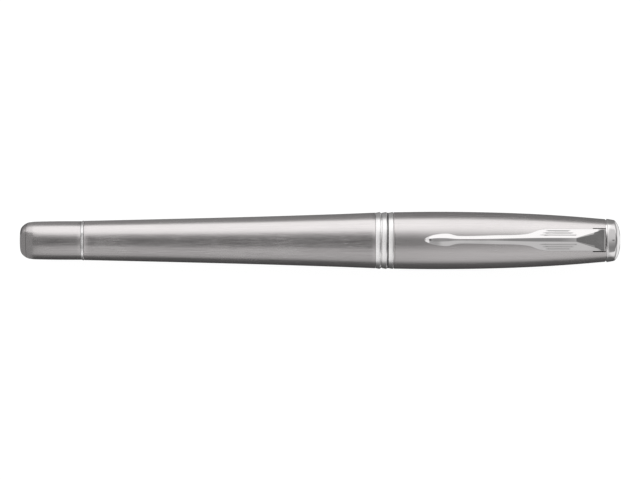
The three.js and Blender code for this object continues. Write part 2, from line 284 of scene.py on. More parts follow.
class Nodes:
    """Short calls for building a node tree."""

    def __init__(self, tree):
        self.tree = tree
        tree.nodes.clear()

    def add(self, kind, inputs=None, **settings):
        node = self.tree.nodes.new("ShaderNode" + kind)
        for name, value in settings.items():
            setattr(node, name, value)
        for name, value in (inputs or {}).items():
            if isinstance(value, bpy.types.NodeSocket):
                self.tree.links.new(value, node.inputs[name])
            else:
                node.inputs[name].default_value = value
        return node

    def math(self, operation, *values):
        return self.add("Math", dict(enumerate(values)), operation=operation).outputs[0]

    def remap(self, value, low, high, new_low, new_high):
        inputs = {"Value": value, "From Min": low, "From Max": high, "To Min": new_low, "To Max": new_high}
        return self.add("MapRange", inputs, interpolation_type="SMOOTHSTEP").outputs["Result"]

    def noise(self, size, stretch=(1, 1, 1), detail=3.0):
        """Noise with features of a size in millimetres, drawn out by stretch along each axis."""
        place = self.add("TexCoord").outputs["Object"]
        scale = [1 / amount for amount in stretch]
        place = self.add("Mapping", {"Vector": place, "Scale": scale}).outputs["Vector"]
        inputs = {"Vector": place, "Scale": 1 / (size * MM), "Detail": detail}
        return self.add("TexNoise", inputs).outputs["Fac"]

    def bump(self, height, depth):
        """A bump of a depth in millimetres."""
        return self.add("Bump", {"Height": height, "Distance": depth * MM}).outputs["Normal"]

    def tint(self, fac, low, high):
        """A colour between two, by fac."""
        mix = self.add("Mix", {"Factor": fac}, data_type="RGBA")
        mix.inputs["A"].default_value = (*low, 1)
        mix.inputs["B"].default_value = (*high, 1)
        return next(out for out in mix.outputs if out.type == "RGBA")


def new_material(name, **sockets):
    """A material with one Principled shader whose uniform sockets are set, and its node builder."""
    material = bpy.data.materials.new(name)
    material.use_nodes = True
    nodes = Nodes(material.node_tree)
    shader = nodes.add("BsdfPrincipled", {key.replace("_", " "): value for key, value in sockets.items()})
    nodes.add("OutputMaterial", {"Surface": shader.outputs["BSDF"]})
    return material, nodes, shader


def wire(nodes, shader, colour, roughness, normal):
    for name, value in (("Base Color", colour), ("Roughness", roughness), ("Normal", normal)):
        nodes.tree.links.new(value, shader.inputs[name])


ALONG = (90, 1, 1)
AROUND = (1, 60, 60)


def satin_metal():
    """Brushed lengthways: fine long scratches of two sizes, and faint cloudy handling marks."""
    material, nodes, shader = new_material("satin_metal", Metallic=1.0)
    fine = nodes.noise(0.07, ALONG)
    coarse = nodes.noise(0.35, ALONG, 2.0)
    clouds = nodes.noise(9.0)
    lines = nodes.math("ADD", nodes.math("MULTIPLY", fine, 0.65), nodes.math("MULTIPLY", coarse, 0.35))
    colour = nodes.tint(nodes.remap(lines, 0.35, 0.65, 0, 1), (0.635, 0.608, 0.607), (0.705, 0.677, 0.676))
    haze = nodes.remap(clouds, 0.4, 0.7, 0, 0.04)
    rough = nodes.math("ADD", nodes.remap(lines, 0.3, 0.7, 0.16, 0.26), haze)
    wire(nodes, shader, colour, rough, nodes.bump(lines, 0.0012))
    return material


def chrome(name, low, high):
    """Polished plate with hairline wiping marks and slight smears."""
    material, nodes, shader = new_material(name, Metallic=1.0)
    hairs = nodes.noise(0.12, (25, 1, 1), 2.0)
    smears = nodes.noise(2.2)
    colour = nodes.tint(smears, low, high)
    wiped = nodes.remap(hairs, 0.6, 0.8, 0, 0.05)
    rough = nodes.math("ADD", nodes.remap(smears, 0.35, 0.75, 0.05, 0.11), wiped)
    wire(nodes, shader, colour, rough, nodes.bump(hairs, 0.0004))
    return material


def bright_turned():
    """Plated trim that was turned on a lathe: fine rings run round it, so its gloss spreads lengthways."""
    material, nodes, shader = new_material(
        "bright_turned", Metallic=1.0, Anisotropic=0.75, Anisotropic_Rotation=0.25
    )
    rings = nodes.noise(0.05, AROUND, 2.0)
    smears = nodes.noise(2.0)
    colour = nodes.tint(smears, (0.95, 0.935, 0.935), (0.98, 0.965, 0.965))
    rough = nodes.math("ADD", nodes.remap(rings, 0.3, 0.7, 0.24, 0.3), nodes.remap(smears, 0.4, 0.8, 0, 0.04))
    wire(nodes, shader, colour, rough, nodes.bump(rings, 0.0008))
    tangent = nodes.add("Tangent", direction_type="RADIAL", axis="X").outputs["Tangent"]
    nodes.tree.links.new(tangent, shader.inputs["Tangent"])
    return material


def gloss_black():
    """Polished black resin with a clear coat, faint swirls and a little dust."""
    material, nodes, shader = new_material("gloss_black", Coat_Weight=0.6, Coat_Roughness=0.05)
    swirls = nodes.noise(0.15, (1, 8, 8), 2.0)
    dust = nodes.remap(nodes.noise(0.09), 0.7, 0.8, 0, 1)
    colour = nodes.tint(dust, (0.012, 0.012, 0.014), (0.05, 0.05, 0.052))
    rough = nodes.math("ADD", nodes.remap(swirls, 0.3, 0.7, 0.1, 0.16), nodes.math("MULTIPLY", dust, 0.2))
    wire(nodes, shader, colour, rough, nodes.bump(swirls, 0.0005))
    return material


def moulded(name, low, high, roughness, size=0.12):
    """A moulded plastic: a fine even texture, with tone and gloss a little uneven."""
    material, nodes, shader = new_material(name)
    texture = nodes.noise(size)
    flow = nodes.noise(3.0, (3, 1, 1))
    colour = nodes.tint(flow, low, high)
    rough = nodes.remap(texture, 0.3, 0.7, roughness - 0.06, roughness + 0.08)
    wire(nodes, shader, colour, rough, nodes.bump(texture, 0.003))
    return material


def machined(name, low, high, roughness):
    """Turned metal with tool rings."""
    material, nodes, shader = new_material(name, Metallic=1.0)
    rings = nodes.noise(0.06, AROUND, 2.0)
    stain = nodes.noise(1.5)
    colour = nodes.tint(stain, low, high)
    rough = nodes.remap(rings, 0.3, 0.7, roughness - 0.08, roughness + 0.08)
    wire(nodes, shader, colour, rough, nodes.bump(rings, 0.002))
    return material


def ink_fibre():
    """Bundled fibre soaked with ink: long strands, damp in places."""
    material, nodes, shader = new_material("ink_fibre")
    strands = nodes.noise(0.05, (60, 1, 1), 2.0)
    colour = nodes.tint(strands, (0.008, 0.01, 0.035), (0.03, 0.036, 0.09))
    rough = nodes.remap(nodes.noise(1.2), 0.35, 0.65, 0.45, 0.9)
    wire(nodes, shader, colour, rough, nodes.bump(strands, 0.01))
    return material


SATIN = satin_metal()
CHROME = chrome("chrome", (0.85, 0.832, 0.832), (0.89, 0.872, 0.872))
# The clip's chrome is a darker copy of the chrome above: painted shade that dims the clip's reflections.
CLIP_CHROME_PAINTED_SHADE = chrome("clip_chrome_painted_shade", (0.75, 0.732, 0.732), (0.79, 0.772, 0.772))
TRIM = bright_turned()
BLACK = gloss_black()
PLASTIC = moulded("black_plastic", (0.022, 0.022, 0.024), (0.035, 0.035, 0.037), 0.45)
REFILL = moulded("refill_plastic", (0.06, 0.064, 0.072), (0.08, 0.084, 0.094), 0.3, 0.3)
RUBBER = moulded("rubber", (0.014, 0.014, 0.014), (0.024, 0.024, 0.024), 0.7, 0.06)
BRASS = machined("brass", (0.68, 0.5, 0.24), (0.76, 0.6, 0.32), 0.26)
STEEL = machined("steel", (0.52, 0.52, 0.53), (0.62, 0.62, 0.63), 0.24)
CARBIDE = machined("carbide", (0.38, 0.38, 0.4), (0.46, 0.46, 0.48), 0.16)
INK = ink_fibre()


# Barrel

def tail_plug():
    start, end = span("tail_plug")
    rim = 1.42
    dome = curved([(start, 2.1), (0.14, 2.68), (0.5, 3.26), (0.96, 3.66), (rim, 3.96)])
    return [(start, 0), *dome, (rim, 3.4), (4, 3.4), (4, 1.3), (end, 1.3), (end, 0)]


def tail_sleeve():
    start, end = span("tail_sleeve")
    outside = [
        (start, 3.985), (1.88, 4.13), (2.35, 4.21), (3.26, 4.31), (5.5, 4.37), (9.2, 4.42), (end, 4.43),
    ]
    return [*curved(outside, 5), (end, 3.8), (4.2, 3.8), (4.2, 3.45), (start, 3.45)]


def tail_ring():
    start, end = span("tail_ring")
    return [*crowned(start, end, 4.41, 4.555), (end, 3.8), (start, 3.8)]


def barrel_tube():
    start, end = span("barrel_tube")
    shoulder, lip = 14.74, 81.44
    outside = curved([(shoulder, 4.5), (34.1, 4.948), (52.8, 5.424), (71.5, 6.01), (lip, 6.388)], 10)
    inside = [(s, r - WALL - 0.05) for s, r in reversed(outside) if 16 < s < 71]
    rim = [(lip, 5.95), (end, 5.95), (end, 5.5), (72, 5.5)]
    return [(start, 3.75), (shoulder, 3.75), *outside, *rim, *inside, (15.5, 3.3), (start, 3.3)]


def mouth_ring():
    """A rounded band, and the low lip that the cap closes on."""
    start, end = span("barrel_mouth_ring")
    edge = 82.65
    return [*crowned(start, edge, BAND_EDGE, BAND_TOP), (edge, 6.3), (end, 6.3), (end, 6), (start, 6)]


def thread_bush():
    start, end = span("barrel_thread_bush")
    bore = [(s, 4.72) for s in steps_between(end, start, 110)]
    return [(start, 5.45), (end, 5.45), *bore]


def build_barrel():
    shells = (
        ("tail_plug", tail_plug, SATIN, "satin_metal"),
        ("tail_sleeve", tail_sleeve, SATIN, "satin_metal"),
        ("tail_ring", tail_ring, TRIM, "chrome"),
        ("barrel_tube", barrel_tube, SATIN, "satin_metal"),
        ("barrel_mouth_ring", mouth_ring, TRIM, "chrome"),
    )
    for node, outline, material, slot in shells:
        stand_in(turned(node + "_skin", outline(), material, SHELL_SEGMENTS), slot, node)
    start, end = span("barrel_thread_bush")
    cut = thread(start + 0.2, end - 0.2, 0.28, lambda station, radius: radius < 5)
    bush = turned("barrel_thread_bush_cut", thread_bush(), BRASS, relief=cut)
    stand_in(bush, "brass", "barrel_thread_bush")


# Refill

def coil_spring():
    """A compression spring with one closed turn at each end, as a round wire swept along its coil."""
    low, high = span("refill_spring")
    wire_radius, coil_radius, turns = 0.25, 2.2, 6
    start, end = low + wire_radius, high - wire_radius
    closed_rise = 2 * wire_radius
    count, sides = 288, 14

    def station(turn):
        open_rise = (end - start - 2 * closed_rise) / (turns - 2)
        closed_turns = min(turn, 1) + max(turn - turns + 1, 0)
        return start + closed_rise * closed_turns + open_rise * within(turn - 1, 0, turns - 2)

    rows = []
    for i in range(count + 1):
        turn = turns * i / count
        angle = 2 * math.pi * turn
        outward = Vector((0, math.sin(angle), math.cos(angle)))
        row = []
        for k in range(sides):
            around = 2 * math.pi * k / sides
            radius = coil_radius + wire_radius * math.cos(around)
            row.append(at(station(turn) + wire_radius * math.sin(around), *(outward.yz * radius)))
        rows.append(row)
    return finish_mesh("refill_spring_coil", swept_bmesh(rows), STEEL)


def refill_end_plug():
    start, end = span("refill_end_plug")
    rim = start + 1
    dished = [(start + 0.25, 0), (start + 0.22, 1.2), (start, 2.0)]
    flange = [(start, 2.85), (start + 0.25, REFILL_RADIUS), (rim, REFILL_RADIUS)]
    return [*dished, *flange, (rim, PLUG_RADIUS), (end, PLUG_RADIUS), (end, 0)]


def refill_tube():
    """A drawn tube with two rolled grooves near its front end."""
    start, end = span("refill_tube")
    grooves = []
    for middle in (end - 3.4, end - 2.2):
        grooves += [(middle - 0.3, REFILL_RADIUS), (middle - 0.12, 3.08)]
        grooves += [(middle + 0.12, 3.08), (middle + 0.3, REFILL_RADIUS)]
    outside = [(s, REFILL_RADIUS) for s in (start, *steps_between(start + 1, end - 5, 12))]
    return [*outside, *grooves, (end, REFILL_RADIUS), (end, REFILL_BORE), (start, REFILL_BORE)]


def refill_feed():
    """The nose that carries the point: a collar that seats in the grip, a neck with rings and a stub."""
    start, end = span("refill_feed")
    shoulder = 105.2
    collar = shoulder - 1.15
    rings = []
    for k in range(4):
        ring = 107.2 + 1.1 * k
        rings += [(ring, 2.2), (ring + 0.1, 2.08), (ring + 0.4, 2.08), (ring + 0.5, 2.2)]
    seat = [(start, PLUG_RADIUS), (collar, PLUG_RADIUS), (collar, REFILL_RADIUS), (shoulder, REFILL_RADIUS)]
    stub = [(112.6, 2.2), (112.9, 1.72), (end, 1.72), (end, 1.08)]
    return [*seat, (shoulder, 2.2), *rings, *stub, (114.8, 1.08), (114.8, 0.75), (start, 0.75)]


def ink_rod(node, radius):
    start, end = span(node)
    edge = 0.15
    return [(start, 0), (start, radius - edge), (start + edge, radius), (end - edge, radius),
            (end, radius - edge), (end, 0)]


def tip_cone():
    start, end = span("tip_cone")
    ball = end - 0.15
    outside = [(start, 1.02), (116.65, 1.02), (116.65, 1.18), (118.5, 1.18), (118.75, 1.1), (119.5, 0.86),
               (120.6, 0.56), (end, 0.44)]
    seat = [(end, 0.335), (ball, 0.4), (ball - 0.25, 0.36), (ball - 0.42, 0.2)]
    return [*outside, *seat, (117.6, 0.2), (117.6, 0.7), (start, 0.7)]


def writing_ball():
    low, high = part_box("writing_ball")
    centre = (low + high) / 2
    bm = bmesh.new()
    bmesh.ops.create_icosphere(bm, subdivisions=4, radius=(high.x - low.x) / 2)
    bmesh.ops.translate(bm, verts=bm.verts, vec=centre)
    return finish_mesh("writing_ball_lapped", bm, CARBIDE)


def build_refill():
    spring = coil_spring()
    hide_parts("refill_spring")
    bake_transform(spring)
    parts = (
        ("refill_end_plug", refill_end_plug(), PLASTIC, "black_plastic"),
        ("refill_tube", refill_tube(), REFILL, "refill_plastic"),
        ("ink_reservoir", ink_rod("ink_reservoir", 2.65), INK, "ink_fibre"),
        ("refill_feed", refill_feed(), PLASTIC, "black_plastic"),
        ("feed_wick", ink_rod("feed_wick", 0.6), INK, "ink_fibre"),
        ("tip_cone", tip_cone(), STEEL, "spring_steel"),
    )
    for node, outline, material, slot in parts:
        stand_in(turned(node + "_turned", outline, material, ease=FINE_EASE), slot, node)
    stand_in(writing_ball(), "carbide", "writing_ball")


# Grip section

def thread_collar():
    start, end = span("section_thread_collar")
    crest = [(s, 4.6) for s in steps_between(start + 0.5, COLLAR_END, 96)]
    return [(start, 4.3), *crest, (COLLAR_END, 4.25), (end, 4.25), (end, 3.25), (start, 3.25)]


def seal_ring():
    low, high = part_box("section_o_ring")
    middle, thickness = sum(span("section_o_ring")) / 2, 0.28
    radius = (high.z - low.z) / 2 / MM - thickness
    turns = [2 * math.pi * k / 20 for k in range(20)]
    return [(middle - thickness * math.cos(a), radius + thickness * math.sin(a)) for a in turns]


def flange_ring():
    start, end = span("section_flange_ring")
    return [*crowned(start, end, 5.2, 5.45), (end, 4.3), (start, 4.3)]


def grip_sleeve():
    start, end = span("grip_sleeve")
    ridge = curved([(89.0, 5.13), (89.3, 5.2), (89.8, 5.3), (90.3, 5.2), (90.7, 5.11)], 5)
    hold = curved([(91, 5.1), (97, 4.86), (104, 4.58), (109, 4.42), (end, 4.32)])
    inside = [(end, 3), (109, 3), (109, 2.35), (105.4, 2.35), (105.4, 3.25), (88.1, 3.25), (88.1, 4.3)]
    return [(start, 5.05), (start + 0.2, 5.14), *ridge, *hold, *inside, (start, 4.3)]


def nose_cone():
    start, end = span("nose_cone")
    joint = 112.55
    cone = curved([(joint, 4.22), (113.4, 4.1), (114.8, 3.6), (116.4, 2.78), (117.7, 1.98), (end, 1.55)])
    inside = [(end, 1.3), (116.8, 1.3), (116.8, 1.9), (114.8, 1.9), (114.8, 2.35), (start, 2.35)]
    return [(start, 2.92), (joint, 2.92), *cone, *inside]


def build_section():
    start, _ = span("section_thread_collar")
    cut = thread(start + 0.1, COLLAR_END, -0.22, lambda station, radius: radius > 4.5)
    collar = turned("section_thread_collar_cut", thread_collar(), PLASTIC, relief=cut)
    stand_in(collar, "black_plastic", "section_thread_collar")
    stand_in(turned("section_o_ring_seal", seal_ring(), RUBBER), "rubber", "section_o_ring")
    parts = (
        ("section_flange_ring", flange_ring, TRIM, "chrome"),
        ("grip_sleeve", grip_sleeve, BLACK, "gloss_black"),
        ("nose_cone", nose_cone, CHROME, "chrome"),
    )
    for node, outline, material, slot in parts:
        stand_in(turned(node + "_turned", outline(), material, SHELL_SEGMENTS), slot, node)


# Cap

def lip_ring():
    """Two rounded bands with a groove between them, and the spigot that the shell is pressed on."""
    start, end = span("cap_lip_ring")
    groove = span("cap_lip_inlay")
    seam = 85.62
    first = crowned(start, groove[0], BAND_EDGE, BAND_TOP)
    second = crowned(groove[1], seam, BAND_EDGE, BAND_TOP)
    return [
        *first, (groove[0], 6.1), (groove[1], 6.1), *second,
        (seam, 5.98), (end, 5.98), (end, 5.6), (start, 5.6),
    ]


def lip_inlay():
    """The black line that fills the groove, a little below its edges."""
    start, end = span("cap_lip_inlay")
    gap = 0.01
    return [(start + gap, 6.36), (end - gap, 6.36), (end - gap, 6.12), (start + gap, 6.12)]


CAP_RADIUS = smooth([
    (85.67, 6.485), (93.7, 6.586), (100.4, 6.565), (107.05, 6.458), (113.7, 6.25), (120.5, 5.93),
    (127.1, 5.49), (134.15, 4.895),
])
SLOT_START = 131.1
SLOT_HALF = 2.75


def cap_shell():
    """The cap's metal shell, open at both ends, with the clip's slot cut out of its crown end. The
    columns of vertices are pulled sideways there, so that the slot's straight edges follow two of them."""
    start, end = span("cap_tube")
    stations = [*steps_between(start, start + EASE, 3), *steps_between(start + 0.4, SLOT_START, 60),
                SLOT_START + 0.15, *steps_between(SLOT_START + 0.5, end - 0.25, 8),
                *steps_between(end - EASE, end, 3)]

    def eased_edge(station):
        off = max(0, EASE - min(station - start, end - station))
        return EASE - math.sqrt(max(0, EASE**2 - off**2))

    outside = [(s, CAP_RADIUS(s) - eased_edge(s)) for s in stations]
    inside = [(s, CAP_RADIUS(s) - WALL) for s in stations]
    segments = SHELL_SEGMENTS
    edge_column = round(segments * SLOT_HALF / (2 * math.pi * CAP_RADIUS(SLOT_START)))
    edge_angle = 2 * math.pi * edge_column / segments
    pull_angle = 0.5
    bm = bmesh.new()

    def ring(station, radius):
        slot_angle = math.asin(SLOT_HALF / CAP_RADIUS(max(station, SLOT_START)))
        row = []
        for k in range(segments):
            angle = 2 * math.pi * k / segments
            off_clip = min(angle, 2 * math.pi - angle)
            if off_clip <= edge_angle:
                turned_by = off_clip * slot_angle / edge_angle
            else:
                pull = max(0, 1 - (off_clip - edge_angle) / pull_angle)
                turned_by = off_clip + (slot_angle - edge_angle) * pull
            turned_by *= 1 if angle <= math.pi else -1
            row.append(bm.verts.new(at(station, radius * math.sin(turned_by), radius * math.cos(turned_by))))
        return row

    outer = [ring(s, r) for s, r in outside]
    inner = [ring(s, r) for s, r in inside]
    slot_row = stations.index(SLOT_START)

    def in_slot(row, column):
        near = column if column < segments / 2 else segments - 1 - column
        return row >= slot_row and near < edge_column

    last = len(stations) - 1
    for i in range(last):
        for k in range(segments):
            if not in_slot(i, k):
                add_face(bm, outer[i], outer[i + 1], k)
                add_face(bm, inner[i], inner[i + 1], k)
    for k in range(segments):
        rim = slot_row if in_slot(last, k) else last
        add_face(bm, outer[0], inner[0], k)
        add_face(bm, outer[rim], inner[rim], k)
    for column in (edge_column, segments - edge_column):
        for i in range(slot_row, last):
            bm.faces.new((outer[i][column], outer[i + 1][column], inner[i + 1][column], inner[i][column]))
    loose = [vert for vert in bm.verts if not vert.link_faces]
    bmesh.ops.delete(bm, geom=loose, context="VERTS")
    return finish_mesh("cap_tube_shell", bm, SATIN)


def inner_cap():
    start, end = span("inner_cap")
    skirt = curved([(start + 0.2, 5.95), (106, 5.92), (118, 5.5), (126, 4.95), (132.9, 4.35)], 8)
    lining = curved([(124.2, 3.9), (122, 4.2), (116, 4.7), (104, 5.45), (start + 0.3, 5.47)], 6)
    return [
        (start, 5.85), *skirt, (132.9, 3.6), (126.2, 4.2), (126.2, 2.2), (end, 2.2), (end, 1.15),
        (124.2, 1.15), *lining, (start, 5.55),
    ]


def catch_ring():
    """A split ring of spring steel, flat on its sides, with rounded ends at the gap."""
    start, end = span("cap_catch_ring")
    bore, outer, half_gap = 5.4, 5.88, 0.16
    section = eased([(start, outer), (end, outer), (end, bore), (start, bore)], ease=0.08)
    angles = steps_between(math.pi + half_gap, 3 * math.pi - half_gap, 150)
    rows = [[at(s, r * math.sin(angle), r * math.cos(angle)) for s, r in section] for angle in angles]
    return finish_mesh("cap_catch_ring_split", swept_bmesh(rows), STEEL)


def clip_screw():
    """A cheese-headed screw with its slot across the head."""
    start, end = span("clip_screw")
    neck = 123.9
    head = [(start, 0), (start, 1.6), (start + 0.3, 1.9), (neck, 1.9), (neck, 1.05)]
    shaft = [(s, 1.05) for s in steps_between(neck + 1, end - 0.3, 130)]
    outline = [*head, *shaft, (end, 0.8), (end, 0)]
    cut = thread(neck + 1.2, end - 0.3, -0.12, lambda station, radius: station > neck + 1 and radius > 1)
    screw = turned("clip_screw_cut", outline, STEEL, ease=FINE_EASE, relief=cut)
    cutter = bpy.data.meshes.new("screw_slot_cutter")
    bm = bmesh.new()
    bmesh.ops.create_cube(bm, size=1)
    bmesh.ops.scale(bm, vec=(0.7 * MM, 5 * MM, 0.45 * MM), verts=bm.verts)
    bmesh.ops.translate(bm, vec=at(start, 0, 0), verts=bm.verts)
    bm.to_mesh(cutter)
    bm.free()
    tool = bpy.data.objects.new("screw_slot_cutter", cutter)
    bpy.context.scene.collection.objects.link(tool)
    slot = screw.modifiers.new("slot", "BOOLEAN")
    slot.object = tool
    slot.operation = "DIFFERENCE"
    with bpy.context.temp_override(object=screw, active_object=screw):
        bpy.ops.object.modifier_move_to_index(modifier="slot", index=0)
        bpy.ops.object.modifier_apply(modifier="slot")
    bpy.data.objects.remove(tool)
    return screw


def crown():
    start, end = span("crown")
    shoulder = 134.45
    side = [(shoulder, 4.88), (shoulder + 0.04, 4.94), (shoulder + 0.14, 4.965), (136, 4.725)]
    dome = curved([(136, 4.725), (136.25, 4.64), (136.45, 4.48), (136.9, 3.84), (137.25, 2.96), (end, 1.9)])
    flat = [(end, 0), (136.3, 0), (136.3, 1.15)]
    return [(start, 4.72), (shoulder, 4.72), *side, *dome[1:], *flat, (start, 1.15)]


def build_cap():
    stand_in(turned("cap_lip_ring_bands", lip_ring(), TRIM, SHELL_SEGMENTS), "chrome", "cap_lip_ring")
    stand_in(turned("cap_lip_inlay_line", lip_inlay(), BLACK, SHELL_SEGMENTS), "gloss_black", "cap_lip_inlay")
    stand_in(cap_shell(), "satin_metal", "cap_tube")
    stand_in(turned("inner_cap_liner", inner_cap(), PLASTIC), "black_plastic", "inner_cap")
    stand_in(catch_ring(), "spring_steel", "cap_catch_ring")
    stand_in(clip_screw(), "spring_steel", "clip_screw")
    stand_in(turned("crown_domed", crown(), CHROME, SHELL_SEGMENTS, CROWN_EASE), "chrome", "crown")


# Clip

# Stations along the strip, how far its top drops at the step and at the rim, and where its foot goes
# straight down to the washer.
CLIP_TIP = 92.55
CLIP_FACET = 127.16
CLIP_STEP = 132.85
STEP_LENGTH = 0.02
STEP_DROP = 0.35
CLIP_RIM = 133.7
RIM_DROP = 0.5
CLIP_END = 134.08
FOOT_START = CLIP_STEP + 0.6
FOOT_UNDERSIDE = 3.9
CLIP_EDGE = 0.14

# The slope of the chamfers, and how fast the facet falls and spreads towards the crown. The crest and
# then the facet stay within a share of the strip's half width.
ROOF = 0.53
LEAST_ROOF = 0.05
FACET_FALL = 0.25
FACET_SPREAD = 0.31
CREST_SHARE = 0.6
FACET_SHARE = 0.87
HOLLOW_RISE = 1.6
CLIP_HALF_WIDTH = smooth([
    (92.55, 0.2), (93, 0.52), (93.6, 0.78), (94.5, 1.1), (95.8, 1.34), (97.2, 1.47), (98.2, 1.42),
    (99.2, 1.14), (100.2, 0.95), (101.3, 0.9), (104, 0.93), (108, 1.05), (115.6, 1.34), (116.9, 1.62),
    (118.6, 2.25), (120.2, 2.52), (123, 2.55), (134.2, 2.55),
])
CLIP_TOP = smooth([
    (92.55, 7.35), (92.8, 7.62), (93.4, 7.92), (93.9, 7.972), (94.4, 7.981), (100, 8.082), (110, 8.25),
    (118, 8.12), (121, 7.95), (127.16, 7.3), (134.2, 6.3),
])
CLIP_THICKNESS = smooth([
    (92.55, 0.5), (93.3, 1.05), (95, 1.25), (97.5, 0.95), (102, 0.85), (118, 0.9), (134.2, 0.9),
])
CLIP_SKIRT = smooth([
    (92.55, 0.14), (93.3, 0.3), (95, 0.45), (97.5, 0.43), (102, 0.38), (115.6, 0.42), (120.2, 0.6),
    (129, 0.75), (134.2, 0.85),
])
CLIP_CREST = smooth([
    (92.55, 0.03), (93.6, 0.2), (95.4, 0.36), (97.3, 0.38), (99.9, 0.2), (103, 0.16), (108, 0.22),
    (113, 0.33), (118, 0.42), (134.2, 0.42),
])
FLUTES = {
    "from": 118.8, "to": 127.4, "count": 3, "first": 1.0, "apart": 0.5, "half_width": 0.15,
    "depth": 0.1, "shorter": 0.7, "run_out": 0.3,
}


def flute(station, y):
    """The depth below the roof of the straight flutes pressed into the clip's shoulder."""
    deepest = 0
    for k in range(FLUTES["count"]):
        off = abs(abs(y) - FLUTES["first"] - FLUTES["apart"] * k) / FLUTES["half_width"]
        shorter = FLUTES["shorter"] * k
        from_ends = min(station - FLUTES["from"] - shorter, FLUTES["to"] - shorter - station)
        deepest = max(deepest, min(within(1 - off), within(from_ends / FLUTES["run_out"])))
    return FLUTES["depth"] * deepest


def step_down(station):
    """How far the strip's top drops where it dives into the shell's slot: a step, a shelf and a rim."""
    step = within((station - CLIP_STEP) / STEP_LENGTH)
    rim = within((station - CLIP_RIM) / (CLIP_END - CLIP_RIM), 0, 0.995)
    return STEP_DROP * step + RIM_DROP * (1 - math.sqrt(1 - rim**2))


def clip_roof(station):
    """The strip's top at a station: the crest's half width and height, and the height across it."""
    half = CLIP_HALF_WIDTH(station)
    ridge = min(CLIP_CREST(station), CREST_SHARE * half)
    crest = min(ridge + FACET_SPREAD * max(0, station - CLIP_FACET), FACET_SHARE * half)
    crest_height = CLIP_TOP(station)
    if station > CLIP_FACET:
        crest_height = CLIP_TOP(CLIP_FACET) - FACET_FALL * (station - CLIP_FACET)
    drop = step_down(station)
    crest_height -= drop
    edge_height = CLIP_TOP(station) - ROOF * (half - ridge) - drop
    slope = max(LEAST_ROOF, (crest_height - edge_height) / (half - crest))

    def height(y):
        if abs(y) <= crest:
            return crest_height
        return crest_height - slope * (abs(y) - crest) - flute(station, y)

    return crest, crest_height, height


def clip_section(station):
    """The strip's outline across the pen at a station, as (y, z) from one edge over the top and back."""
    half, skirt = CLIP_HALF_WIDTH(station), CLIP_SKIRT(station)
    crest, crest_height, height = clip_roof(station)
    edge = min(CLIP_EDGE, 0.4 * skirt, 0.3 * half)
    side = half - edge
    slope_side = steps_between(side, crest, 24)[:-1]
    crest_line = steps_between(crest, -crest, 8)
    top = [(y, height(y)) for y in slope_side + crest_line + [-y for y in reversed(slope_side)]]

    edge_under = height(half) - skirt
    centre_under = crest_height - CLIP_THICKNESS(station)
    if station > FOOT_START:
        edge_under = centre_under = FOOT_UNDERSIDE
    elif station > SLOT_START + 0.3:
        edge_under = min(edge_under, centre_under)
    rounding = steps_between(0, math.pi / 2, 4)[1:-1]
    right_top = [(side + edge * math.sin(a), height(side) - edge * (1 - math.cos(a))) for a in rounding]
    right_low = [(side + edge * math.cos(a), edge_under + edge * (1 - math.sin(a))) for a in rounding]
    under = []
    for y in steps_between(side, -side, 8):
        share = min(1, HOLLOW_RISE * (1 - abs(y) / side))
        under.append((y, edge_under + (centre_under - edge_under) * share))
    left = [(-y, z) for y, z in [*reversed(right_low), *reversed(right_top)]]
    return top[::-1] + right_top + right_low + under + left


def clip_stations():
    """Where the strip gets a row: close together at its tip, at the facet and at each step."""
    stations = [CLIP_TIP + (CLIP_FACET - 0.05 - CLIP_TIP) * (k / 120) ** 1.25 for k in range(121)]
    stations += [CLIP_FACET, *steps_between(CLIP_FACET + 0.05, CLIP_STEP, 24)]
    stations += steps_between(CLIP_STEP + STEP_LENGTH, CLIP_RIM, 6)
    rounded = [math.sin(angle) for angle in steps_between(0, math.pi / 2, 10)[1:]]
    return stations + [CLIP_RIM + (CLIP_END - CLIP_RIM) * share for share in rounded]


def washer_into(bm):
    """Adds the clip's foot, a washer round the screw under the crown."""
    start, end = span("clip_ring")
    outline = eased([(start, 4.35), (end, 4.35), (end, 1.25), (start, 1.25)], FINE_EASE)
    ring = turned_bmesh(outline, SMALL_SEGMENTS)
    mesh = bpy.data.meshes.new("washer")
    ring.to_mesh(mesh)
    ring.free()
    bm.from_mesh(mesh)
    bpy.data.meshes.remove(mesh)


def build_clip():
    """One bent strip, from the tip over the shoulder and down through the shell's slot to its washer."""
    bm = swept_bmesh([[at(s, y, z) for y, z in clip_section(s)] for s in clip_stations()])
    washer_into(bm)
    # The strip takes the darker copy of the chrome, painted shade on its reflections.
    clip = finish_mesh("clip_strip", bm, CLIP_CHROME_PAINTED_SHADE)
    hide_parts("clip_arm", "clip_ring")
    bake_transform(clip)


# Studio

# Lengths in metres, but the sensor in millimetres. The camera leans from straight up towards -Y.
CAMERA_DISTANCE = 1.1
VIEW_WIDTH = 0.14684
VIEW_CENTRE = (0.0, 0.00011)
VIEW_LEAN = math.radians(1.2)
SENSOR = 36.0
OVERHEAD = {"size": 0.8, "energy": 1.8, "place": Vector((-0.15, 0.55, 0.8))}
FLOOR_HALF = 4.0
BACKDROP_RADIUS = 3.9

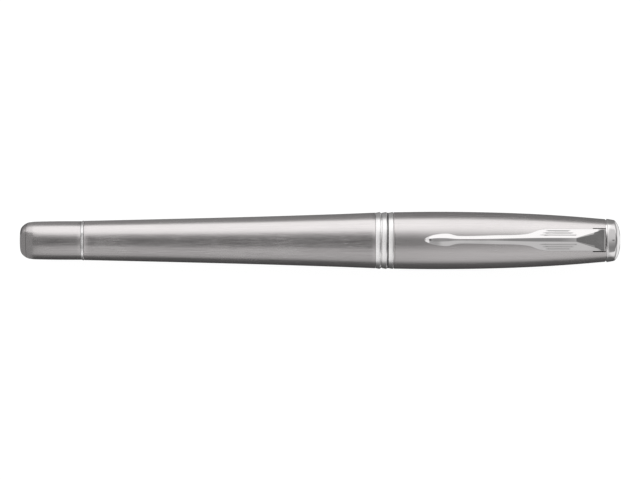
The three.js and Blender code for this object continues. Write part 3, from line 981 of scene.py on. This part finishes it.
# Brightness of the surroundings by the angle round the pen's axis, in degrees from straight up
# towards +Y: a large softbox behind the pen, a darker gap round the camera and a dimmer box in front.
# The pen's taper sorts its reflections: the barrel shows the first list, the cap the second, the
# rounded ends the other two.
AROUND_PEN = [
    (-180, 0.06), (-140, 0.08), (-108, 0.12), (-99, 0.31), (-88, 0.42), (-60, 0.44), (-40, 0.39),
    (-31, 0.17), (-16, 0.1), (-2, 0.1), (16, 0.17), (29, 0.43), (42, 1.05), (56, 1.28), (92, 1.3),
    (99, 0.64), (109, 0.34), (150, 0.28), (180, 0.12),
]
AROUND_CAP = [
    (-180, 0.06), (-140, 0.09), (-108, 0.14), (-99, 0.42), (-88, 0.58), (-60, 0.67), (-40, 0.6),
    (-31, 0.52), (-16, 0.39), (-2, 0.4), (16, 0.54), (28, 0.84), (41, 1.14), (56, 1.27), (91, 1.22),
    (98, 0.52), (109, 0.26), (150, 0.2), (180, 0.1),
]
PAST_TAIL = [
    (-180, 0.06), (-140, 0.1), (-115, 0.3), (-97, 0.96), (-60, 1.02), (-30, 0.98), (-10, 0.92), (10, 0.92),
    (30, 0.96), (55, 0.99), (80, 0.97), (97, 0.8), (114, 0.36), (144, 0.2), (180, 0.06),
]
PAST_CROWN = [
    (-180, 0.9), (-158, 0.85), (-140, 0.12), (-114, 0.36), (-97, 0.8), (-76, 0.88), (-68, 0.26),
    (-40, 0.23), (-17, 0.34), (-4, 0.48), (8, 0.58), (30, 0.64), (64, 0.66), (74, 0.98), (88, 1.0),
    (98, 0.84), (114, 0.42), (140, 0.22), (158, 0.85), (180, 0.9),
]
BRIGHTEST = 1.3

# How far a direction points along the pen where one list hands over to the next, and the dark flags
# that only the clip's crest, its facet and the crown's end reflect. The tail's card is in millimetres.
CAP_RISE = (-0.045, 0.0)
TAIL_RISE = (0.18, 0.27)
CROWN_RISE = (0.27, 0.36)
FLAG_SOFTNESS = 1.4
CREST_FLAG = {"near": (0.015, 0.05), "far": (0.25, 0.3), "angle": 8, "light": 0.3}
FACET_FLAG = {"near": (0.43, 0.48), "far": (0.56, 0.6), "angle": 3.5, "light": 0.19}
CROWN_FLAG = {"rise": (0.89, 0.94), "light": 0.2}
TAIL_FLAG = {"gap": 3.0, "half": 32.0, "foot": 2.0, "light": 0.28}


def add_camera():
    data = bpy.data.cameras.new("camera")
    data.sensor_width = SENSOR
    data.lens = SENSOR * CAMERA_DISTANCE / VIEW_WIDTH
    data.clip_start = 0.02
    camera = bpy.data.objects.new("camera", data)
    x, y = VIEW_CENTRE
    aside, above = CAMERA_DISTANCE * math.sin(VIEW_LEAN), CAMERA_DISTANCE * math.cos(VIEW_LEAN)
    camera.location = (x, y - aside, AXIS_Z + above)
    camera.rotation_euler = (VIEW_LEAN, 0, 0)
    bpy.context.scene.collection.objects.link(camera)
    bpy.context.scene.camera = camera


def add_surroundings():
    world = bpy.data.worlds.new("studio")
    bpy.context.scene.world = world
    world.use_nodes = True
    nodes = Nodes(world.node_tree)
    direction = nodes.add("TexCoord").outputs["Generated"]
    parts = nodes.add("SeparateXYZ", {"Vector": direction}).outputs
    along = parts["X"]
    angle = nodes.math("ARCTAN2", parts["Y"], parts["Z"])
    place = nodes.math("MULTIPLY_ADD", angle, 1 / (2 * math.pi), 0.5)

    def ramp(lights):
        """The brightness round the axis, through (degrees, light) pairs."""
        node = nodes.add("ValToRGB", {"Fac": place})
        stops = node.color_ramp.elements
        while len(stops) < len(lights):
            stops.new(0.5)
        for stop, (degrees, light) in zip(stops, lights):
            stop.position = degrees / 360 + 0.5
            stop.color = (*[light / BRIGHTEST] * 3, 1)
        return nodes.math("MULTIPLY", node.outputs["Color"], BRIGHTEST)

    def towards(light, other, share):
        rise = nodes.math("SUBTRACT", other, light)
        return nodes.math("MULTIPLY_ADD", rise, share, light)

    def covered_by(flag):
        """How far a flag above the pen covers a direction, from 0 to 1."""
        near = nodes.remap(along, *flag["near"], 0, 1)
        past = nodes.remap(along, *flag["far"], 1, 0)
        half = math.radians(flag["angle"])
        inside = nodes.remap(nodes.math("ABSOLUTE", angle), half, FLAG_SOFTNESS * half, 1, 0)
        return nodes.math("MULTIPLY", nodes.math("MULTIPLY", near, past), inside)

    to_tail = nodes.math("MULTIPLY", along, -1)
    light = towards(ramp(AROUND_PEN), ramp(AROUND_CAP), nodes.remap(along, *CAP_RISE, 0, 1))
    light = towards(light, ramp(PAST_TAIL), nodes.remap(to_tail, *TAIL_RISE, 0, 1))
    light = towards(light, ramp(PAST_CROWN), nodes.remap(along, *CROWN_RISE, 0, 1))
    for flag in (CREST_FLAG, FACET_FLAG):
        light = towards(light, flag["light"], covered_by(flag))
    light = towards(light, CROWN_FLAG["light"], nodes.remap(along, *CROWN_FLAG["rise"], 0, 1))
    background = nodes.add("Background", {"Color": light})
    nodes.add("OutputWorld", {"Surface": background.outputs["Background"]})


def add_overhead_light():
    """A large soft lamp behind the pen, which only shapes the shadow and the matte parts."""
    data = bpy.data.lights.new("overhead", "AREA")
    data.size = OVERHEAD["size"]
    data.energy = OVERHEAD["energy"]
    lamp = bpy.data.objects.new("overhead", data)
    lamp.location = OVERHEAD["place"]
    lamp.rotation_euler = (-lamp.location).to_track_quat("-Z", "Y").to_euler()
    hide_from(lamp, "glossy")
    bpy.context.scene.collection.objects.link(lamp)


def add_tail_flag():
    """A grey card just past the pen's tail, seen only in its reflections, that keeps its end dim. Its
    edge slopes up and back from the pen, clear of the softbox."""
    half, foot = TAIL_FLAG["half"], TAIL_FLAG["foot"]
    outline = ((-half, -half), (foot, -half), (foot, 0), (half, half), (-half, half))
    corners = [at(-TAIL_FLAG["gap"], y, z) for y, z in outline]
    card = one_face("tail_flag", corners, glowing("flag_card", TAIL_FLAG["light"]))
    hide_from(card, "camera", "diffuse", "transmission", "shadow", "volume_scatter")


def glowing(name, light):
    material = bpy.data.materials.new(name)
    material.use_nodes = True
    nodes = Nodes(material.node_tree)
    glow = nodes.add("Emission", {"Strength": light})
    nodes.add("OutputMaterial", {"Surface": glow.outputs["Emission"]})
    return material


def hide_from(piece, *rays):
    for ray in rays:
        setattr(piece, "visible_" + ray, False)


def one_face(name, corners, material):
    bm = bmesh.new()
    bm.faces.new([bm.verts.new(corner) for corner in corners])
    mesh = bpy.data.meshes.new(name)
    bm.to_mesh(mesh)
    bm.free()
    mesh.materials.append(material)
    piece = bpy.data.objects.new(name, mesh)
    bpy.context.scene.collection.objects.link(piece)
    return piece


def plain_surface(name, colour, glow):
    """A matte surface lifted by a little light of its own, with a very faint mottle."""
    material, nodes, shader = new_material(name, Roughness=0.9, Emission_Color=(1, 1, 1, 1))
    shader.inputs["Emission Strength"].default_value = glow
    shader.inputs["Specular IOR Level"].default_value = 0.0
    tone = nodes.tint(nodes.noise(60.0), [c * 0.98 for c in colour], colour)
    nodes.tree.links.new(tone, shader.inputs["Base Color"])
    return material


def add_floor():
    half = FLOOR_HALF
    corners = [(x * half, y * half, CAD_LOW.z) for x, y in ((-1, -1), (1, -1), (1, 1), (-1, 1))]
    floor = one_face("floor", corners, plain_surface("floor_paper", (0.18, 0.18, 0.18), 0.92))
    hide_from(floor, "glossy")


def add_backdrop():
    """A pale dome far behind everything, which only the camera sees."""
    bm = bmesh.new()
    bmesh.ops.create_uvsphere(bm, u_segments=32, v_segments=16, radius=BACKDROP_RADIUS)
    mesh = bpy.data.meshes.new("backdrop")
    bm.to_mesh(mesh)
    bm.free()
    mesh.materials.append(plain_surface("backdrop_paper", (0.0, 0.0, 0.0), 0.93))
    dome = bpy.data.objects.new("backdrop", mesh)
    hide_from(dome, "diffuse", "glossy", "transmission", "shadow", "volume_scatter")
    bpy.context.scene.collection.objects.link(dome)


def add_studio():
    add_camera()
    add_surroundings()
    add_overhead_light()
    add_tail_flag()
    add_floor()
    add_backdrop()
    bpy.context.scene.view_settings.view_transform = "Standard"


add_studio()
build_barrel()
build_refill()
build_section()
build_cap()
build_clip()
